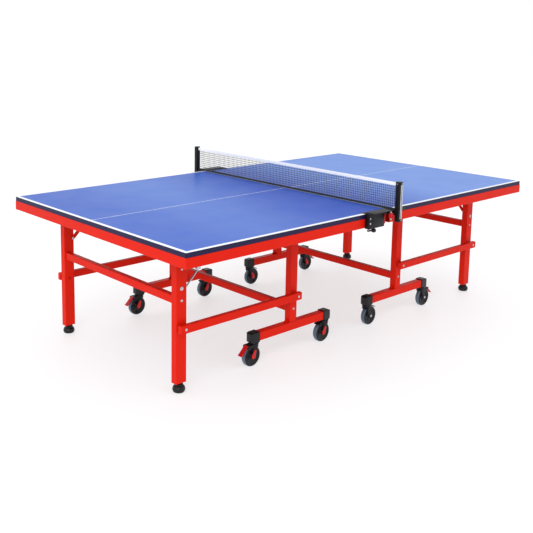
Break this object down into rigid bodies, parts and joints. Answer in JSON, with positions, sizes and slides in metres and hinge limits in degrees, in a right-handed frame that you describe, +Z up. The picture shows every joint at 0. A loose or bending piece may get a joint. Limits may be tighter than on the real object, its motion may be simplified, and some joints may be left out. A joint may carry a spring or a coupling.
{
  "type": "ping pong table",
  "caption": "Roll-away table tennis table: two folding halves on wheeled T-shaped legs, red tube frame, blue lined top and a clamp-on net.",
  "frame": {"origin": "on the floor, under the middle of the net, at the centre of the whole table's box", "axes": "+X along the table's length, +Y across it, +Z up; the near side is -Y"},
  "size_m": [2.74, 1.69, 0.9182],
  "materials": {
    "red_enamel": "smooth powder coat",
    "blue_board": "low-sheen blue lacquer",
    "black_plastic": "moulded",
    "black_steel": "satin black powder coat",
    "zinc": "zinc plated",
    "rubber": "matte",
    "tyre": "moulded tread",
    "net_mesh": "knotted mesh",
    "net_tape": "woven tape",
    "red_plastic": "glossy"
  },
  "bodies": {
    "left_undercarriage": {"left_t_frame": "red_enamel", "left_t_bolts": "zinc", "left_foot_caps": "black_plastic"},
    "left_top": {"left_board": "blue_board", "left_top_frame": "red_enamel", "left_pivot_brackets": "zinc", "left_pivot_bolts": "zinc", "net_clamp_near": "black_steel"},
    "left_legs": {"left_end_legs": "red_enamel", "left_end_crossbar": "red_enamel", "left_leg_bolts": "zinc"},
    "left_links": {"left_link_bars": "red_enamel"},
    "left_rod_stay": {"left_stay_rod": "zinc"},
    "left_strap_stay": {"left_stay_strap": "red_enamel"},
    "clamp_screw_near": {"clamp_screw_near": "black_plastic"},
    "left_foot_near": {"left_foot_near": "rubber"},
    "left_outer_near_caster": {"left_outer_near_fork": "black_plastic"},
    "left_outer_near_wheel": {"left_outer_near_wheel": "tyre"},
    "left_outer_near_brake": {"left_outer_near_pedal": "red_plastic"},
    "left_inner_near_caster": {"left_inner_near_fork": "black_plastic"},
    "left_inner_near_wheel": {"left_inner_near_wheel": "tyre"},
    "left_foot_far": {"left_foot_far": "rubber"},
    "left_outer_far_caster": {"left_outer_far_fork": "black_plastic"},
    "left_outer_far_wheel": {"left_outer_far_wheel": "tyre"},
    "left_outer_far_brake": {"left_outer_far_pedal": "red_plastic"},
    "left_inner_far_caster": {"left_inner_far_fork": "black_plastic"},
    "left_inner_far_wheel": {"left_inner_far_wheel": "tyre"},
    "right_undercarriage": {"right_t_frame": "red_enamel", "right_t_bolts": "zinc", "right_foot_caps": "black_plastic"},
    "right_top": {"right_board": "blue_board", "right_top_frame": "red_enamel", "right_pivot_brackets": "zinc", "right_pivot_bolts": "zinc", "net_clamp_far": "black_steel"},
    "right_legs": {"right_end_legs": "red_enamel", "right_end_crossbar": "red_enamel", "right_leg_bolts": "zinc"},
    "right_links": {"right_link_bars": "red_enamel"},
    "right_rod_stay": {"right_stay_rod": "zinc"},
    "right_strap_stay": {"right_stay_strap": "red_enamel"},
    "clamp_screw_far": {"clamp_screw_far": "black_plastic"},
    "right_foot_far": {"right_foot_far": "rubber"},
    "right_outer_far_caster": {"right_outer_far_fork": "black_plastic"},
    "right_outer_far_wheel": {"right_outer_far_wheel": "tyre"},
    "right_outer_far_brake": {"right_outer_far_pedal": "red_plastic"},
    "right_inner_far_caster": {"right_inner_far_fork": "black_plastic"},
    "right_inner_far_wheel": {"right_inner_far_wheel": "tyre"},
    "right_foot_near": {"right_foot_near": "rubber"},
    "right_outer_near_caster": {"right_outer_near_fork": "black_plastic"},
    "right_outer_near_wheel": {"right_outer_near_wheel": "tyre"},
    "right_outer_near_brake": {"right_outer_near_pedal": "red_plastic"},
    "right_inner_near_caster": {"right_inner_near_fork": "black_plastic"},
    "right_inner_near_wheel": {"right_inner_near_wheel": "tyre"},
    "net_set": {"net_posts": "black_steel", "net_mesh": "net_mesh", "net_bands": "net_tape"},
    "net_knob_near": {"net_knob_near": "red_plastic"},
    "net_knob_far": {"net_knob_far": "red_plastic"}
  },
  "joints": [
    {"name": "left_fold", "type": "hinge", "parent": "left_undercarriage", "child": "left_top", "pos_m": [-0.45, 0, 0.65], "axis": [0, 1, 0], "range_deg": [0, 90]},
    {"name": "left_legs_fold", "type": "hinge", "parent": "left_top", "child": "left_legs", "pos_m": [-1.2, 0, 0.65], "axis": [0, 1, 0], "range_deg": [-90, 0]},
    {"name": "left_links_swing", "type": "hinge", "parent": "left_undercarriage", "child": "left_links", "pos_m": [-0.45, 0, 0.32], "axis": [0, 1, 0], "range_deg": [0, 90]},
    {"name": "left_rod_stay_fold", "type": "hinge", "parent": "left_legs", "child": "left_rod_stay", "pos_m": [-1.18, -0.47, 0.445], "axis": [0, 1, 0], "range_deg": [0, 135]},
    {"name": "left_strap_stay_fold", "type": "hinge", "parent": "left_legs", "child": "left_strap_stay", "pos_m": [-1.178, 0.476, 0.545], "axis": [0, 1, 0], "range_deg": [0, 135]},
    {"name": "clamp_screw_near_turn", "type": "hinge", "parent": "left_top", "child": "clamp_screw_near", "pos_m": [-0.176, -0.778, 0.671], "axis": [0, 0, 1], "continuous": true},
    {"name": "left_foot_near_level", "type": "slide", "parent": "left_legs", "child": "left_foot_near", "axis": [0, 0, 1], "range_m": [-0.015, 0]},
    {"name": "left_outer_near_swivel", "type": "hinge", "parent": "left_undercarriage", "child": "left_outer_near_caster", "pos_m": [-0.715, -0.5, 0.128], "axis": [0, 0, 1], "continuous": true},
    {"name": "left_outer_near_roll", "type": "hinge", "parent": "left_outer_near_caster", "child": "left_outer_near_wheel", "pos_m": [-0.735, -0.5, 0.055], "axis": [0, 1, 0], "continuous": true},
    {"name": "left_outer_near_brake_press", "type": "hinge", "parent": "left_outer_near_caster", "child": "left_outer_near_brake", "pos_m": [-0.767, -0.5, 0.109], "axis": [0, -1, 0], "range_deg": [-15, 5]},
    {"name": "left_inner_near_swivel", "type": "hinge", "parent": "left_undercarriage", "child": "left_inner_near_caster", "pos_m": [-0.185, -0.5, 0.128], "axis": [0, 0, 1], "continuous": true},
    {"name": "left_inner_near_roll", "type": "hinge", "parent": "left_inner_near_caster", "child": "left_inner_near_wheel", "pos_m": [-0.205, -0.5, 0.055], "axis": [0, 1, 0], "continuous": true},
    {"name": "left_foot_far_level", "type": "slide", "parent": "left_legs", "child": "left_foot_far", "axis": [0, 0, 1], "range_m": [-0.015, 0]},
    {"name": "left_outer_far_swivel", "type": "hinge", "parent": "left_undercarriage", "child": "left_outer_far_caster", "pos_m": [-0.715, 0.5, 0.128], "axis": [0, 0, 1], "continuous": true},
    {"name": "left_outer_far_roll", "type": "hinge", "parent": "left_outer_far_caster", "child": "left_outer_far_wheel", "pos_m": [-0.735, 0.5, 0.055], "axis": [0, 1, 0], "continuous": true},
    {"name": "left_outer_far_brake_press", "type": "hinge", "parent": "left_outer_far_caster", "child": "left_outer_far_brake", "pos_m": [-0.767, 0.5, 0.109], "axis": [0, -1, 0], "range_deg": [-15, 5]},
    {"name": "left_inner_far_swivel", "type": "hinge", "parent": "left_undercarriage", "child": "left_inner_far_caster", "pos_m": [-0.185, 0.5, 0.128], "axis": [0, 0, 1], "continuous": true},
    {"name": "left_inner_far_roll", "type": "hinge", "parent": "left_inner_far_caster", "child": "left_inner_far_wheel", "pos_m": [-0.205, 0.5, 0.055], "axis": [0, 1, 0], "continuous": true},
    {"name": "halves_roll_apart", "type": "slide", "parent": "left_undercarriage", "child": "right_undercarriage", "axis": [1, 0, 0], "range_m": [0, 0.8]},
    {"name": "right_fold", "type": "hinge", "parent": "right_undercarriage", "child": "right_top", "pos_m": [0.45, 0, 0.65], "axis": [0, -1, 0], "range_deg": [0, 90]},
    {"name": "right_legs_fold", "type": "hinge", "parent": "right_top", "child": "right_legs", "pos_m": [1.2, 0, 0.65], "axis": [0, -1, 0], "range_deg": [-90, 0]},
    {"name": "right_links_swing", "type": "hinge", "parent": "right_undercarriage", "child": "right_links", "pos_m": [0.45, 0, 0.32], "axis": [0, -1, 0], "range_deg": [0, 90]},
    {"name": "right_rod_stay_fold", "type": "hinge", "parent": "right_legs", "child": "right_rod_stay", "pos_m": [1.18, 0.47, 0.445], "axis": [0, -1, 0], "range_deg": [0, 135]},
    {"name": "right_strap_stay_fold", "type": "hinge", "parent": "right_legs", "child": "right_strap_stay", "pos_m": [1.178, -0.476, 0.545], "axis": [0, -1, 0], "range_deg": [0, 135]},
    {"name": "clamp_screw_far_turn", "type": "hinge", "parent": "right_top", "child": "clamp_screw_far", "pos_m": [0.176, 0.778, 0.671], "axis": [0, 0, 1], "continuous": true},
    {"name": "right_foot_far_level", "type": "slide", "parent": "right_legs", "child": "right_foot_far", "axis": [0, 0, 1], "range_m": [-0.015, 0]},
    {"name": "right_outer_far_swivel", "type": "hinge", "parent": "right_undercarriage", "child": "right_outer_far_caster", "pos_m": [0.715, 0.5, 0.128], "axis": [0, 0, 1], "continuous": true},
    {"name": "right_outer_far_roll", "type": "hinge", "parent": "right_outer_far_caster", "child": "right_outer_far_wheel", "pos_m": [0.735, 0.5, 0.055], "axis": [0, 1, 0], "continuous": true},
    {"name": "right_outer_far_brake_press", "type": "hinge", "parent": "right_outer_far_caster", "child": "right_outer_far_brake", "pos_m": [0.767, 0.5, 0.109], "axis": [0, 1, 0], "range_deg": [-15, 5]},
    {"name": "right_inner_far_swivel", "type": "hinge", "parent": "right_undercarriage", "child": "right_inner_far_caster", "pos_m": [0.185, 0.5, 0.128], "axis": [0, 0, 1], "continuous": true},
    {"name": "right_inner_far_roll", "type": "hinge", "parent": "right_inner_far_caster", "child": "right_inner_far_wheel", "pos_m": [0.205, 0.5, 0.055], "axis": [0, 1, 0], "continuous": true},
    {"name": "right_foot_near_level", "type": "slide", "parent": "right_legs", "child": "right_foot_near", "axis": [0, 0, 1], "range_m": [-0.015, 0]},
    {"name": "right_outer_near_swivel", "type": "hinge", "parent": "right_undercarriage", "child": "right_outer_near_caster", "pos_m": [0.715, -0.5, 0.128], "axis": [0, 0, 1], "continuous": true},
    {"name": "right_outer_near_roll", "type": "hinge", "parent": "right_outer_near_caster", "child": "right_outer_near_wheel", "pos_m": [0.735, -0.5, 0.055], "axis": [0, 1, 0], "continuous": true},
    {"name": "right_outer_near_brake_press", "type": "hinge", "parent": "right_outer_near_caster", "child": "right_outer_near_brake", "pos_m": [0.767, -0.5, 0.109], "axis": [0, 1, 0], "range_deg": [-15, 5]},
    {"name": "right_inner_near_swivel", "type": "hinge", "parent": "right_undercarriage", "child": "right_inner_near_caster", "pos_m": [0.185, -0.5, 0.128], "axis": [0, 0, 1], "continuous": true},
    {"name": "right_inner_near_roll", "type": "hinge", "parent": "right_inner_near_caster", "child": "right_inner_near_wheel", "pos_m": [0.205, -0.5, 0.055], "axis": [0, 1, 0], "continuous": true},
    {"name": "net_lift", "type": "slide", "parent": "left_undercarriage", "child": "net_set", "axis": [0, 0, 1], "range_m": [0, 0.3]},
    {"name": "net_knob_near_turn", "type": "hinge", "parent": "net_set", "child": "net_knob_near", "pos_m": [-0.028, -0.805, 0.735], "axis": [0, 0, 1], "continuous": true},
    {"name": "net_knob_far_turn", "type": "hinge", "parent": "net_set", "child": "net_knob_far", "pos_m": [0.028, 0.805, 0.735], "axis": [0, 0, 1], "continuous": true}
  ],
  "couplings": [
    {"joint": "left_legs_fold", "follows": "left_fold", "ratio": -1},
    {"joint": "left_links_swing", "follows": "left_fold", "ratio": 1},
    {"joint": "left_rod_stay_fold", "follows": "left_fold", "ratio": 1.5},
    {"joint": "left_strap_stay_fold", "follows": "left_fold", "ratio": 1.5},
    {"joint": "right_legs_fold", "follows": "right_fold", "ratio": -1},
    {"joint": "right_links_swing", "follows": "right_fold", "ratio": 1},
    {"joint": "right_rod_stay_fold", "follows": "right_fold", "ratio": 1.5},
    {"joint": "right_strap_stay_fold", "follows": "right_fold", "ratio": 1.5}
  ]
}
